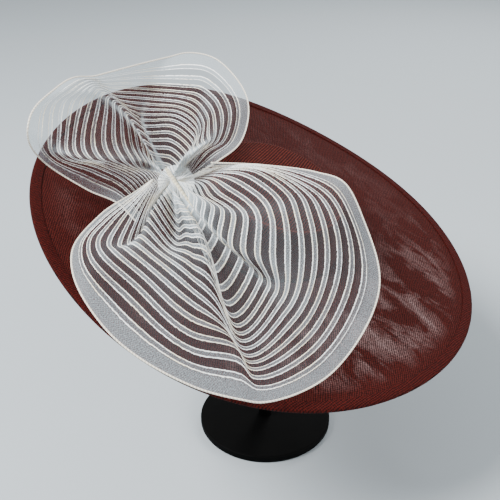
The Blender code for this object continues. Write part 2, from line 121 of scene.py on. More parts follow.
@dataclass(frozen=True)
class StrawCloth:
    """Sinamay, a stiff open cloth woven from plant fibre and varnished: glossy in clouds.

    Real threads lie about 1 mm apart. They are drawn twice as far apart or more, so that
    they show at this size. Where the varnish lies thick the cloth is glossier, and a pale
    painted sheen is mixed into its colour there as a painted highlight.
    """

    name: str
    turn: float = 0.0
    pitch_mm: float = 2.0
    uneven_mm: float = 4.0
    rib: float = 0.62
    thread: str = "4C1711"
    hollow: str = "120202"
    # Painted sheen: pale colour mixed into the threads where the varnish lies thick, standing for its
    # highlights.
    painted_sheen: str = "A38B89"
    painted_sheen_most: float = 0.8
    roughness: float = 0.78
    polish: float = 0.30
    specular: float = 0.08
    cloud_turn: float = -45.0
    cloud_stretch: tuple[float, float, float] = (1.9, 0.9, 1.0)
    low_side: tuple[float, float, float] = (0.80, -0.60, 0.0)
    low_from_mm: float = 60.0
    low_to_mm: float = 165.0
    bare_from_mm: float = 196.0
    bare_to_mm: float = 214.0
    # Painted highlight: a lighter line round the crown's top edge at this radius, in the colour below.
    rim_highlight_mm: float = 0.0
    rim: str = "6A352B"

    def make(self) -> bpy.types.Material:
        """Build the material; its pattern reads the UV map, which is in millimetres.

        Returns:
            The material.
        """
        material, tree, shader = new_material(self.name)
        place = add_node(tree, "ShaderNodeUVMap", uv_map="cloth_mm")
        turned = add_node(
            tree, "ShaderNodeMapping", {"Vector": place, "Rotation": (0, 0, math.radians(self.turn))}
        )
        cover = self.weave(tree, turned)
        shade = add_node(tree, "ShaderNodeMapRange", {"Value": cover, "From Min": 0.35, "From Max": 1.15})
        woven = add_node(
            tree,
            "ShaderNodeMix",
            {"Factor": shade, "A": linear(self.hollow), "B": linear(self.thread)},
            data_type="RGBA",
        )
        # Where the varnish lies thick the roughness drops, and a pale painted sheen is mixed into the colour as
        # a painted highlight.
        varnish_and_sheen = self.varnish_and_sheen(tree, place)
        sheen_amount = add_node(tree, "ShaderNodeMath", {0: varnish_and_sheen, 1: self.painted_sheen_most}, operation="MULTIPLY")
        sheen_amount = add_node(tree, "ShaderNodeMath", {0: sheen_amount, 1: shade}, operation="MULTIPLY")
        colour = add_node(
            tree,
            "ShaderNodeMix",
            {"Factor": sheen_amount, "A": woven.outputs["Result"], "B": linear(self.painted_sheen)},
            data_type="RGBA",
        )
        # Painted highlight round the edge of the crown's top.
        if self.rim_highlight_mm:
            colour = self.painted_rim_highlight(tree, place, colour)
        gloss = add_node(
            tree,
            "ShaderNodeMapRange",
            {"Value": varnish_and_sheen, "To Min": self.roughness, "To Max": self.roughness - self.polish},
        )
        bump = add_node(tree, "ShaderNodeBump", {"Height": cover, "Strength": 0.7, "Distance": 0.0005})
        tree.links.new(colour.outputs["Result"], shader.inputs["Base Color"])
        tree.links.new(gloss.outputs[0], shader.inputs["Roughness"])
        tree.links.new(bump.outputs[0], shader.inputs["Normal"])
        shader.inputs["Specular IOR Level"].default_value = self.specular
        return material

    def weave(self, tree: bpy.types.NodeTree, place: bpy.types.Node) -> bpy.types.Node:
        """Height of the threads: two sets across each other, a little uneven.

        Args:
            tree: the material's node tree.
            place: place on the cloth in millimetres, turned to the weave.

        Returns:
            Node that gives the height.
        """
        ripple = add_node(tree, "ShaderNodeTexNoise", {"Vector": place, "Scale": 0.05, "Detail": 2.0})
        shift = add_node(
            tree, "ShaderNodeVectorMath", {0: ripple.outputs["Color"], 3: self.uneven_mm}, operation="SCALE"
        )
        bent = add_node(tree, "ShaderNodeVectorMath", {0: place, 1: shift}, operation="ADD")
        axes = add_node(tree, "ShaderNodeSeparateXYZ", {0: bent})
        rows = []
        for axis in (0, 1):
            angle = add_node(
                tree,
                "ShaderNodeMath",
                {0: axes.outputs[axis], 1: math.pi / self.pitch_mm},
                operation="MULTIPLY",
            )
            swing = add_node(tree, "ShaderNodeMath", {0: angle}, operation="SINE")
            rows.append(add_node(tree, "ShaderNodeMath", {0: swing}, operation="ABSOLUTE"))
        cover = add_node(tree, "ShaderNodeMath", {0: rows[0], 1: self.rib}, operation="MULTIPLY")
        cover = add_node(
            tree, "ShaderNodeMath", {0: rows[1], 1: 1 - self.rib, 2: cover}, operation="MULTIPLY_ADD"
        )
        fibre = add_node(
            tree, "ShaderNodeTexNoise", {"Vector": bent, "Scale": 0.55, "Detail": 3.0, "Roughness": 0.6}
        )
        uneven = add_node(
            tree,
            "ShaderNodeMapRange",
            {"Value": fibre, "From Min": 0.3, "From Max": 0.7, "To Min": -0.25, "To Max": 0.3},
        )
        return add_node(tree, "ShaderNodeMath", {0: cover, 1: uneven}, operation="ADD")

    def painted_rim_highlight(
        self, tree: bpy.types.NodeTree, place: bpy.types.Node, colour: bpy.types.Node
    ) -> bpy.types.Node:
        """Painted highlight: a lighter line along the edge of the crown's top, where the cloth is pressed over
        it and catches the light.

        Args:
            tree: the material's node tree.
            place: place on the cloth in millimetres.
            colour: the cloth's colour without the line.

        Returns:
            Node that gives the colour with the line.
        """
        reach = add_node(tree, "ShaderNodeVectorMath", {0: place}, operation="LENGTH")
        off = add_node(
            tree, "ShaderNodeMath", {0: reach.outputs["Value"], 1: self.rim_highlight_mm}, operation="SUBTRACT"
        )
        off = add_node(tree, "ShaderNodeMath", {0: off}, operation="ABSOLUTE")
        line = add_node(
            tree,
            "ShaderNodeMapRange",
            {"Value": off, "From Min": 0.4, "From Max": 1.8, "To Min": 0.6, "To Max": 0.0},
        )
        return add_node(
            tree,
            "ShaderNodeMix",
            {"Factor": line, "A": colour.outputs["Result"], "B": linear(self.rim)},
            data_type="RGBA",
        )

    def varnish_and_sheen(self, tree: bpy.types.NodeTree, place: bpy.types.Node) -> bpy.types.Node:
        """Where varnish lies thick, which also places the painted sheen: clouds drawn out down the
        slope, kept mostly to the low side, and none by the edge.

        Args:
            tree: the material's node tree.
            place: place on the cloth in millimetres.

        Returns:
            Node that gives the amount, from 0 to 1.
        """
        drawn = add_node(
            tree,
            "ShaderNodeMapping",
            {
                "Vector": place,
                "Rotation": (0, 0, math.radians(self.cloud_turn)),
                "Scale": self.cloud_stretch,
            },
            vector_type="TEXTURE",
        )
        clouds = add_node(
            tree,
            "ShaderNodeTexNoise",
            {"Vector": drawn, "Scale": 0.034, "Detail": 6.0, "Roughness": 0.66, "Distortion": 0.5},
        )
        streaks = add_node(tree, "ShaderNodeMapRange", {"Value": clouds, "From Min": 0.46, "From Max": 0.72})
        low = add_node(tree, "ShaderNodeVectorMath", {0: place, 1: self.low_side}, operation="DOT_PRODUCT")
        side = add_node(
            tree,
            "ShaderNodeMapRange",
            {
                "Value": low.outputs["Value"],
                "From Min": self.low_from_mm,
                "From Max": self.low_to_mm,
                "To Min": 0.15,
                "To Max": 1.0,
            },
            interpolation_type="SMOOTHSTEP",
        )
        reach = add_node(tree, "ShaderNodeVectorMath", {0: place}, operation="LENGTH")
        inside = add_node(
            tree,
            "ShaderNodeMapRange",
            {
                "Value": reach.outputs["Value"],
                "From Min": self.bare_from_mm,
                "From Max": self.bare_to_mm,
                "To Min": 1.0,
                "To Max": 0.0,
            },
        )
        clouded = add_node(tree, "ShaderNodeMath", {0: streaks, 1: side}, operation="MULTIPLY")
        return add_node(tree, "ShaderNodeMath", {0: clouded, 1: inside}, operation="MULTIPLY")


@dataclass(frozen=True)
class Crinoline:
    """Nylon crinoline, a sheer stiff net, with cross tucks stitched half an inch apart.

    A tuck is three layers deep, so it looks white, with a bright line at its fold and at
    its stitches. One layer between two tucks is nearly clear. Where the cloth is drawn up
    at the seam its threads lie closer, which the map "drawn_up" gives. The net's threads
    are drawn coarser than real ones, so that they show at this size.
    """

    name: str
    white: str = "FBFDFD"
    cream: str = "FBF1DA"
    body: str = "BFCBD1"
    gap: str = "666D71"
    net_mm: float = 1.5
    veil: float = 0.145
    veil_swing: float = 0.10
    tuck: float = 0.19
    tuck_swing: float = 0.24
    band: float = 0.27
    band_swing: float = 0.26
    crowded_from: float = 2.2
    crowded_to: float = 5.5
    line_core_mm: float = 0.28
    line_edge_mm: float = 0.66
    wander_mm: float = 0.9
    wander_scale: tuple[float, float, float] = (0.30, 0.10, 1.0)

    def make(self) -> bpy.types.Material:
        """Build the material; the UV map gives millimetres along and in from the free edge.

        Returns:
            The material.
        """
        material, tree, shader = new_material(self.name)
        place = add_node(tree, "ShaderNodeUVMap", uv_map="strip_mm")
        axes = add_node(tree, "ShaderNodeSeparateXYZ", {0: place})
        along, inward = axes.outputs[0], axes.outputs[1]
        row = self.wander(tree, place, inward)
        from_tuck = self.tuck_distance(tree, row)
        line = self.rope(tree, place, from_tuck)
        body = add_node(
            tree,
            "ShaderNodeMapRange",
            {
                "Value": from_tuck,
                "From Min": TUCK_HALF_MM - 0.2,
                "From Max": TUCK_HALF_MM + 0.2,
                "To Min": 1.0,
                "To Max": 0.0,
            },
        )
        start = FIRST_TUCK_MM - TUCK_HALF_MM
        inside = add_node(
            tree, "ShaderNodeMapRange", {"Value": row, "From Min": start - 1.0, "From Max": start - 0.6}
        )
        weave = self.net(tree, place, along, inward)
        layers = []
        for base, swing in (
            (self.veil, self.veil_swing),
            (self.tuck, self.tuck_swing),
            (self.band, self.band_swing),
        ):
            layer = {0: weave, 1: swing, 2: base}
            layers.append(add_node(tree, "ShaderNodeMath", layer, operation="MULTIPLY_ADD"))
        cover = add_node(tree, "ShaderNodeMix", {"Factor": body, "A": layers[0], "B": layers[1]})
        cover = add_node(tree, "ShaderNodeMix", {"Factor": inside, "A": layers[2], "B": cover})
        seam = add_node(tree, "ShaderNodeMath", {0: line, 1: inside}, operation="MULTIPLY")
        cover = add_node(tree, "ShaderNodeMath", {0: cover, 1: seam}, operation="MAXIMUM", use_clamp=True)
        clear = add_node(tree, "ShaderNodeMath", {0: 1.0, 1: cover}, operation="SUBTRACT", use_clamp=True)
        drawn = add_node(tree, "ShaderNodeUVMap", uv_map="drawn_up")
        density = add_node(tree, "ShaderNodeSeparateXYZ", {0: drawn})
        clear = add_node(tree, "ShaderNodeMath", {0: clear, 1: density}, operation="POWER")
        cover = add_node(tree, "ShaderNodeMath", {0: 1.0, 1: clear}, operation="SUBTRACT", use_clamp=True)
        warm = add_node(tree, "ShaderNodeTexNoise", {"Vector": place, "Scale": 0.03, "Detail": 1.0})
        warmth = add_node(tree, "ShaderNodeMapRange", {"Value": warm, "From Min": 0.40, "From Max": 0.65})
        threads = add_node(
            tree,
            "ShaderNodeMix",
            {"Factor": warmth, "A": linear(self.white), "B": linear(self.cream)},
            data_type="RGBA",
        )
        outside = add_node(tree, "ShaderNodeMath", {0: 1.0, 1: inside}, operation="SUBTRACT")
        layered = add_node(tree, "ShaderNodeMath", {0: body, 1: outside}, operation="MAXIMUM")
        crowded = add_node(
            tree,
            "ShaderNodeMapRange",
            {"Value": density, "From Min": self.crowded_from, "From Max": self.crowded_to},
        )
        gathered = add_node(tree, "ShaderNodeMath", {0: layered, 1: crowded}, operation="MAXIMUM")
        cloth = add_node(
            tree,
            "ShaderNodeMix",
            {"Factor": gathered, "A": linear(self.gap), "B": linear(self.body)},
            data_type="RGBA",
        )
        colour = add_node(
            tree,
            "ShaderNodeMix",
            {"Factor": seam, "A": cloth.outputs["Result"], "B": threads.outputs["Result"]},
            data_type="RGBA",
        )
        tree.links.new(colour.outputs["Result"], shader.inputs["Base Color"])
        tree.links.new(cover.outputs[0], shader.inputs["Alpha"])
        shader.inputs["Roughness"].default_value = 0.5
        shader.inputs["Specular IOR Level"].default_value = 0.3
        return material

    def wander(
        self, tree: bpy.types.NodeTree, place: bpy.types.Node, inward: bpy.types.NodeSocket
    ) -> bpy.types.Node:
        """Distance from the free edge, with the small wander of hand-guided stitching.

        Args:
            tree: the material's node tree.
            place: place on the strip in millimetres.
            inward: distance from the free edge in millimetres.

        Returns:
            Node that gives the distance.
        """
        stretch = add_node(
            tree, "ShaderNodeVectorMath", {0: place, 1: self.wander_scale}, operation="MULTIPLY"
        )
        noise_node = add_node(tree, "ShaderNodeTexNoise", {"Vector": stretch, "Scale": 1.0, "Detail": 1.0})
        swing = {0: noise_node, 1: self.wander_mm, 2: -self.wander_mm / 2}
        drift = add_node(tree, "ShaderNodeMath", swing, operation="MULTIPLY_ADD")
        return add_node(tree, "ShaderNodeMath", {0: inward, 1: drift}, operation="ADD")

    def tuck_distance(self, tree: bpy.types.NodeTree, row: bpy.types.Node) -> bpy.types.Node:
        """Distance from the middle of the nearest tuck.

        Args:
            tree: the material's node tree.
            row: distance from the free edge in millimetres.

        Returns:
            Node that gives the distance in millimetres.
        """
        start = add_node(
            tree, "ShaderNodeMath", {0: row, 1: FIRST_TUCK_MM - TUCK_PITCH_MM / 2}, operation="SUBTRACT"
        )
        turn = add_node(tree, "ShaderNodeMath", {0: start, 1: TUCK_PITCH_MM}, operation="FLOORED_MODULO")
        centred = add_node(tree, "ShaderNodeMath", {0: turn, 1: TUCK_PITCH_MM / 2}, operation="SUBTRACT")
        return add_node(tree, "ShaderNodeMath", {0: centred}, operation="ABSOLUTE")

    def rope(
        self, tree: bpy.types.NodeTree, place: bpy.types.Node, from_tuck: bpy.types.Node
    ) -> bpy.types.Node:
        """Bright line at each edge of a tuck, thick and thin by turns like a thread's twist.

        Args:
            tree: the material's node tree.
            place: place on the strip in millimetres.
            from_tuck: distance from the middle of the nearest tuck in millimetres.

        Returns:
            Node that is 1 on the line and 0 beside it.
        """
        off_line = add_node(tree, "ShaderNodeMath", {0: from_tuck, 1: TUCK_HALF_MM}, operation="SUBTRACT")
        off_line = add_node(tree, "ShaderNodeMath", {0: off_line}, operation="ABSOLUTE")
        beads = add_node(tree, "ShaderNodeTexNoise", {"Vector": place, "Scale": 0.45, "Detail": 1.0})
        swing = {0: beads, 1: self.wander_mm, 2: -self.wander_mm / 2}
        swell = add_node(tree, "ShaderNodeMath", swing, operation="MULTIPLY_ADD")
        off_line = add_node(tree, "ShaderNodeMath", {0: off_line, 1: swell}, operation="ADD")
        return add_node(
            tree,
            "ShaderNodeMapRange",
            {
                "Value": off_line,
                "From Min": self.line_core_mm,
                "From Max": self.line_edge_mm,
                "To Min": 1.0,
                "To Max": 0.0,
            },
            interpolation_type="SMOOTHSTEP",
        )

    def net(
        self,
        tree: bpy.types.NodeTree,
        place: bpy.types.Node,
        along: bpy.types.NodeSocket,
        inward: bpy.types.NodeSocket,
    ) -> bpy.types.Node:
        """Threads of the net, slanting both ways, as a swing about zero.

        Args:
            tree: the material's node tree.
            place: place on the strip in millimetres.
            along: length along the strip in millimetres.
            inward: distance from the free edge in millimetres.

        Returns:
            Node that gives the swing.
        """
        waves = []
        for side in (1.0, -1.0):
            slant = add_node(tree, "ShaderNodeMath", {0: inward, 1: side, 2: along}, operation="MULTIPLY_ADD")
            turns = {0: slant, 1: math.tau / (self.net_mm * DIAGONAL)}
            angle = add_node(tree, "ShaderNodeMath", turns, operation="MULTIPLY")
            waves.append(add_node(tree, "ShaderNodeMath", {0: angle}, operation="SINE"))
        crossed = add_node(tree, "ShaderNodeMath", {0: waves[0], 1: waves[1]}, operation="MAXIMUM")
        speck = add_node(
            tree, "ShaderNodeTexNoise", {"Vector": place, "Scale": 0.75, "Detail": 2.0, "Roughness": 0.7}
        )
        grain = add_node(tree, "ShaderNodeMath", {0: speck, 1: 3.0, 2: -1.6}, operation="MULTIPLY_ADD")
        return add_node(tree, "ShaderNodeMath", {0: crossed, 1: 0.45, 2: grain}, operation="MULTIPLY_ADD")


@dataclass(frozen=True)
class TwistedThread:
    """Cream nylon cord with a twist, sewn along the free edge. The grooves between its strands are painted
    darker, as painted shade.
    """

    name: str
    light: str = "F3EBDC"
    painted_groove_shade: str = "C9BFAE"
    twist_mm: float = 3.0

    def make(self) -> bpy.types.Material:
        """Build the material; the UV map gives millimetres along and turns round the cord.

        Returns:
            The material.
        """
        material, tree, shader = new_material(self.name)
        place = add_node(tree, "ShaderNodeUVMap", uv_map="cord_mm")
        axes = add_node(tree, "ShaderNodeSeparateXYZ", {0: place})
        steps = add_node(
            tree, "ShaderNodeMath", {0: axes.outputs[0], 1: math.tau / self.twist_mm}, operation="MULTIPLY"
        )
        round_it = add_node(
            tree, "ShaderNodeMath", {0: axes.outputs[1], 1: math.tau, 2: steps}, operation="MULTIPLY_ADD"
        )
        strand = add_node(tree, "ShaderNodeMath", {0: round_it}, operation="SINE")
        # Painted shade: each strand is lighter on its crown and darker in the groove beside it, while the
        # cord's surface stays smooth.
        shade = add_node(tree, "ShaderNodeMapRange", {"Value": strand, "From Min": -1.0, "From Max": 0.2})
        colour = add_node(
            tree,
            "ShaderNodeMix",
            {"Factor": shade, "A": linear(self.painted_groove_shade), "B": linear(self.light)},
            data_type="RGBA",
        )
        tree.links.new(colour.outputs["Result"], shader.inputs["Base Color"])
        shader.inputs["Roughness"].default_value = 0.4
        return material


@dataclass(frozen=True)
class PaintedSteel:
    """Mild steel with satin black powder paint: a faint orange-peel skin."""

    name: str
    paint: str = "050505"
    dust: str = "080808"
    roughness: float = 0.62
    specular: float = 0.04
    peel_mm: float = 1.6

    def make(self) -> bpy.types.Material:
        """Build the material on Object coordinates.

        Returns:
            The material.
        """
        material, tree, shader = new_material(self.name)
        place = add_node(tree, "ShaderNodeTexCoord")
        peel = add_node(
            tree,
            "ShaderNodeTexNoise",
            {"Vector": place.outputs["Object"], "Scale": 1 / (self.peel_mm * MM), "Detail": 1.0},
        )
        dust = add_node(
            tree, "ShaderNodeTexNoise", {"Vector": place.outputs["Object"], "Scale": 30.0, "Detail": 4.0}
        )
        film = add_node(tree, "ShaderNodeMapRange", {"Value": dust, "From Min": 0.45, "From Max": 0.8})
        colour = add_node(
            tree,
            "ShaderNodeMix",
            {
                "Factor": film,
                "A": linear(self.paint),
                "B": linear(self.dust),
            },
            data_type="RGBA",
        )
        bump = add_node(tree, "ShaderNodeBump", {"Height": peel, "Strength": 0.25, "Distance": 0.0002})
        tree.links.new(colour.outputs["Result"], shader.inputs["Base Color"])
        tree.links.new(bump.outputs[0], shader.inputs["Normal"])
        shader.inputs["Roughness"].default_value = self.roughness
        shader.inputs["Specular IOR Level"].default_value = self.specular
        return material


@dataclass(frozen=True)
class StainedBeech:
    """Beech stained black and waxed: fine straight grain under a dull sheen."""

    name: str
    stain: str = "141211"
    grain: str = "241F1C"
    grain_mm: float = 1.2

    def make(self) -> bpy.types.Material:
        """Build the material on Object coordinates.

        Returns:
            The material.
        """
        material, tree, shader = new_material(self.name)
        place = add_node(tree, "ShaderNodeTexCoord")
        drawn = add_node(
            tree, "ShaderNodeMapping", {"Vector": place.outputs["Object"], "Scale": (1.0, 0.06, 1.0)}
        )
        lines = add_node(
            tree, "ShaderNodeTexNoise", {"Vector": drawn, "Scale": 1 / (self.grain_mm * MM), "Detail": 3.0}
        )
        colour = add_node(
            tree,
            "ShaderNodeMix",
            {"Factor": lines, "A": linear(self.stain), "B": linear(self.grain)},
            data_type="RGBA",
        )
        bump = add_node(tree, "ShaderNodeBump", {"Height": lines, "Strength": 0.3, "Distance": 0.0002})
        tree.links.new(colour.outputs["Result"], shader.inputs["Base Color"])
        tree.links.new(bump.outputs[0], shader.inputs["Normal"])
        shader.inputs["Roughness"].default_value = 0.55
        return material


@dataclass(frozen=True)
class Wave:
    """Slow wave of the brim's edge; height is a share of the brim's radius."""

    count: int
    height: float
    crest_bearing: float


@dataclass(frozen=True)
class Fold:
    """One fold of a bow loop, from the seam to the free edge.

    root is the place along its half of the seam, side the brim's (1) or the crown's (-1).
    A station is bearing about the bow's centre, reach and lift, as shares of the strip's
    width.
    """

    name: str
    root: float
    side: float
    near: tuple[float, float, float]
    middle: tuple[float, float, float]
    far: tuple[float, float, float]
    edge: tuple[float, float, float]


@dataclass(frozen=True)
class Place:
    """Place beside the crown; outside and lift are shares of the strip's width."""

    bearing: float
    outside: float
    lift: float


class Half(Enum):
    """The two halves of the seam."""

    FRONT = 1
    BACK = -1


@dataclass(frozen=True)
class HatShape:
    """Sizes of the hat and the heights of its surface, in its own frame.

    The side flare's rows are height, as a share of the crown's side, and how much of the
    way from the top's radius to the base's the side stands out there.
    """

    centre: tuple[float, float, float] = (-0.005, 0.014, 0.243)
    tilt: float = math.radians(22.5)
    tilt_bearing: float = math.radians(-34.5)
    brim_radius: float = 0.230
    brim_wall: float = 0.0016
    underlap: float = 0.006
    waves: tuple[Wave, ...] = (Wave(2, 0.032, -31), Wave(3, 0.010, -11), Wave(4, 0.007, 38))
    wave_growth: float = 1.6
    binding_width: float = 0.0105
    binding_wall: float = 0.0010
    base_radius: float = 0.085
    top_radius: float = 0.069
    crown_height: float = 0.0505
    dome: float = 0.003
    crown_wall: float = 0.0016
    shoulder: float = 0.005
    side_flare: tuple[tuple[float, float], ...] = (
        (0.0, 1.0),
        (0.14, 0.70),
        (0.36, 0.40),
        (0.64, 0.16),
        (1.0, 0.0),
    )

    def pose(self) -> Matrix:
        """Matrix from the hat's frame to the world.

        Returns:
            The matrix.
        """
        axis = Vector((-math.sin(self.tilt_bearing), math.cos(self.tilt_bearing), 0.0))
        return Matrix.Translation(self.centre) @ Matrix.Rotation(self.tilt, 4, axis)

    def brim_lift(self, x: float, y: float) -> float:
        """Height of the middle of the brim's wall at a place in plan.

        Args:
            x: place in plan.
            y: place in plan.

        Returns:
            The height.
        """
        bearing = math.atan2(y, x)
        edge = sum(
            w.height * self.brim_radius * math.cos(w.count * (bearing - math.radians(w.crest_bearing)))
            for w in self.waves
        )
        spread = max(0.0, (math.hypot(x, y) - self.base_radius) / (self.brim_radius - self.base_radius))
        return edge * spread**self.wave_growth - self.brim_wall / 2

    def height(self, x: float, y: float) -> float:
        """Height of the outer surface, crown or brim, at a place in plan.

        Args:
            x: place in plan.
            y: place in plan.

        Returns:
            The height.
        """
        radius = math.hypot(x, y)
        if radius >= self.base_radius:
            return self.brim_lift(x, y) + self.brim_wall / 2
        rise = min(1.0, (self.base_radius - radius) / (self.base_radius - self.top_radius))
        return self.crown_height * rise

    def plate_lift(self, plate_radius: float, plate_height: float) -> float:
        """Height of the underside of a plate whose rim lies just under the crown.

        Args:
            plate_radius: the plate's radius.
            plate_height: its thickness.

        Returns:
            The height.
        """
        flat = self.top_radius - self.shoulder
        ceiling = self.crown_height + self.dome * (1 - (plate_radius / flat) ** 2) - self.crown_wall
        return ceiling - GAP - plate_height


def smooth_curve(knots: np.ndarray, points: np.ndarray, at: np.ndarray) -> np.ndarray:
    """Points on the smooth curve through points that are set at knots.

    Args:
        knots: increasing positions, one for each point.
        points: the points, along the first axis.
        at: positions wanted.

    Returns:
        One point for each position.
    """
    knots, points, at = np.asarray(knots, float), np.asarray(points, float), np.asarray(at, float)
    step = np.diff(knots)
    rise = np.diff(points, axis=0) / step.reshape(-1, *[1] * (points.ndim - 1))
    slope = np.empty_like(points)
    slope[0], slope[-1] = rise[0], rise[-1]
    before, after = (s.reshape(-1, *[1] * (points.ndim - 1)) for s in (step[:-1], step[1:]))
    slope[1:-1] = (rise[:-1] * after + rise[1:] * before) / (before + after)
    i = np.clip(np.searchsorted(knots, at, side="right") - 1, 0, len(step) - 1)
    t = ((at - knots[i]) / step[i]).reshape(-1, *[1] * (points.ndim - 1))
    width = step[i].reshape(-1, *[1] * (points.ndim - 1))
    return (
        (2 * t**3 - 3 * t**2 + 1) * points[i]
        + (t**3 - 2 * t**2 + t) * width * slope[i]
        + (3 * t**2 - 2 * t**3) * points[i + 1]
        + (t**3 - t**2) * width * slope[i + 1]
    )


def finish_piece(
    name: str, bm: bmesh.types.BMesh, material: bpy.types.Material, replaces: str | None = None
) -> bpy.types.Object:
    """Turn a bmesh into a piece of the object that rides on the part's body.

    Args:
        name: the piece's name.
        bm: its mesh, which is used up.
        material: its finish.
        replaces: CAD node that it stands for.

    Returns:
        The new object.
    """
    mesh = bpy.data.meshes.new(name)
    bm.to_mesh(mesh)
    bm.free()
    mesh.materials.append(material)
    mesh.shade_smooth()
    piece = bpy.data.objects.new(name, mesh)
    bpy.context.collection.objects.link(piece)
    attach(piece, BODY)
    if replaces:
        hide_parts(replaces)
    log.info("%s: %d faces", name, len(mesh.polygons))
    return piece


def add_wall(piece: bpy.types.Object, thickness: float) -> None:
    """Give a sheet its wall, half to each side.

    Args:
        piece: the sheet.
        thickness: the wall's thickness.
    """
    wall = piece.modifiers.new("wall", "SOLIDIFY")
    wall.thickness = thickness
    wall.offset = 0.0


@dataclass
class StrawHat:
    """The woven hat: brim, folded binding round its edge, and crown."""

    shape: HatShape
    steps_round: int = 288
    brim_rings: int = 40
    crown_steps: int = 192
    welt_steps: int = 8
    top_rings: tuple[float, ...] = (0.97, 0.93, 0.85, 0.7, 0.5, 0.3, 0.12, 0.0)
    uneven: float = 0.0005
    uneven_per_metre: float = 22.0
    even_by_crown: float = 0.020
    even_by_binding: float = 0.015
    stitch_inset: float = 0.0014
    stitch_half_width: float = 0.0007
    stitch_depth: float = 0.0003
    feather: float = 0.0002

    def build(self) -> None:
        """Build and dress the three pieces."""
        self.brim()
        self.binding()
        self.crown()

    def lay_uv(self, bm: bmesh.types.BMesh, drawn: float = 0.0) -> None:
        """Write plan millimetres to the UV map, with the height drawn out along the radius.

        Args:
            bm: mesh in the hat's frame.
            drawn: how much of the height below the crown's top is drawn out.
        """
        layer = bm.loops.layers.uv.new("cloth_mm")
        for face in bm.faces:
            for loop in face.loops:
                x, y, z = loop.vert.co
                radius = max(math.hypot(x, y), 1e-6)
                share = 1 + drawn * (self.shape.crown_height - z) / radius
                loop[layer].uv = (x * share / MM, y * share / MM)

    def pose(self, bm: bmesh.types.BMesh) -> None:
        """Put a mesh from the hat's frame into the world.

        Args:
            bm: the mesh.
        """
        bmesh.ops.transform(bm, matrix=self.shape.pose(), verts=bm.verts)

    def spin_round(self, bm: bmesh.types.BMesh, section: list, steps: int) -> None:
        """Turn a section once round the hat's axis and merge its doubles.

        Args:
            bm: mesh that holds the section.
            section: its vertices and edges.
            steps: steps in the turn.
        """
        bmesh.ops.spin(
            bm, geom=section, cent=(0, 0, 0), axis=(0, 0, 1), angle=math.tau, steps=steps, use_merge=True
        )
        bmesh.ops.remove_doubles(bm, verts=bm.verts, dist=WELD)

    def brim(self) -> None:
        """Wide wavy disc, open in the middle for the head."""
        shape = self.shape
        inner = shape.base_radius - shape.underlap
        edge = shape.brim_radius - shape.binding_wall - GAP
        bm = bmesh.new()
        bmesh.ops.create_circle(bm, cap_ends=False, segments=self.steps_round, radius=inner)
        outline = list(bm.edges)
        for ring in range(1, self.brim_rings + 1):
            radius = inner + (edge - inner) * ring / self.brim_rings
            grown = bmesh.ops.extrude_edge_only(bm, edges=outline)["geom"]
            for vert in (part for part in grown if isinstance(part, bmesh.types.BMVert)):
                vert.co *= radius / math.hypot(vert.co.x, vert.co.y)
            outline = [part for part in grown if isinstance(part, bmesh.types.BMEdge)]
        bmesh.ops.recalc_face_normals(bm, faces=bm.faces)
        if next(iter(bm.faces)).normal.z < 0:
            bmesh.ops.reverse_faces(bm, faces=bm.faces)
        for vert in bm.verts:
            x, y, _ = vert.co
            reach = math.hypot(x, y)
            fade = min(1.0, (reach - inner) / self.even_by_crown)
            fade *= min(1.0, (edge - reach) / self.even_by_binding)
            swell = noise.noise(Vector((x, y, 0.0)) * self.uneven_per_metre)
            vert.co.z = shape.brim_lift(x, y) + swell * self.uneven * fade
        self.lay_uv(bm)
        self.pose(bm)
        cloth = StrawCloth("burgundy_sinamay_brim").make()
        brim = finish_piece("hat_brim", bm, cloth, "brim")
        add_wall(brim, shape.brim_wall)

    def binding(self) -> None:
        """Strip folded over the brim's edge, with rounded folds and a line of stitches."""
        shape = self.shape
        wall = shape.binding_wall
        clear = shape.brim_wall / 2 + GAP
        inner = shape.brim_radius - shape.binding_width
        outer = clear + wall
        turns = [math.radians(angle) for angle in range(0, 181, 15)]
        nose = shape.brim_radius - outer
        section = [(nose + math.sin(t) * outer, math.cos(t) * outer) for t in turns]
        stitch = inner + self.stitch_inset
        above = [
            (inner, clear + self.feather),
            (stitch - self.stitch_half_width, outer),
            (stitch, outer - self.stitch_depth),
            (stitch + self.stitch_half_width, outer),
        ]
        below = [(radius, -lift) for radius, lift in reversed(above)]
        slot_end = shape.brim_radius - wall
        slot = [(inner, -clear), (slot_end, -clear), (slot_end, clear), (inner, clear)]
        section = section + below + slot + above
        bm = bmesh.new()
        verts = [bm.verts.new((radius, 0.0, lift)) for radius, lift in section]
        edges = [bm.edges.new((verts[i - 1], verts[i])) for i in range(len(verts))]
        self.spin_round(bm, verts + edges, self.steps_round)
        bmesh.ops.recalc_face_normals(bm, faces=bm.faces)
        self.lay_uv(bm)
        for vert in bm.verts:
            vert.co.z += shape.brim_lift(vert.co.x, vert.co.y)
        self.pose(bm)
        cloth = StrawCloth("burgundy_sinamay_binding", turn=45, thread="4A110B").make()
        finish_piece("hat_brim_binding", bm, cloth, "brim_binding")

    def crown_line(self) -> list[tuple[float, float]]:
        """Outer line of the crown as (radius, height), with a soft welt at its top edge.

        Returns:
            The line's points, from the brim up and in to the middle of the top.
        """
        shape = self.shape
        side = shape.crown_height - shape.shoulder
        knots = [h for h, _ in shape.side_flare]
        radii = [shape.top_radius + f * (shape.base_radius - shape.top_radius) for _, f in shape.side_flare]
        heights = np.linspace(0.0, 1.0, 15)
        line = [
            (float(r), GAP + float(h) * (side - GAP))
            for r, h in zip(smooth_curve(knots, radii, heights), heights)
        ]
        for step in range(1, self.welt_steps + 1):
            turn = math.pi / 2 * step / self.welt_steps
            radius = shape.top_radius - shape.shoulder * (1 - math.cos(turn))
            line.append((radius, side + shape.shoulder * math.sin(turn)))
        flat = shape.top_radius - shape.shoulder
        for share in self.top_rings:
            line.append((flat * share, shape.crown_height + shape.dome * (1 - share**2)))
        return line

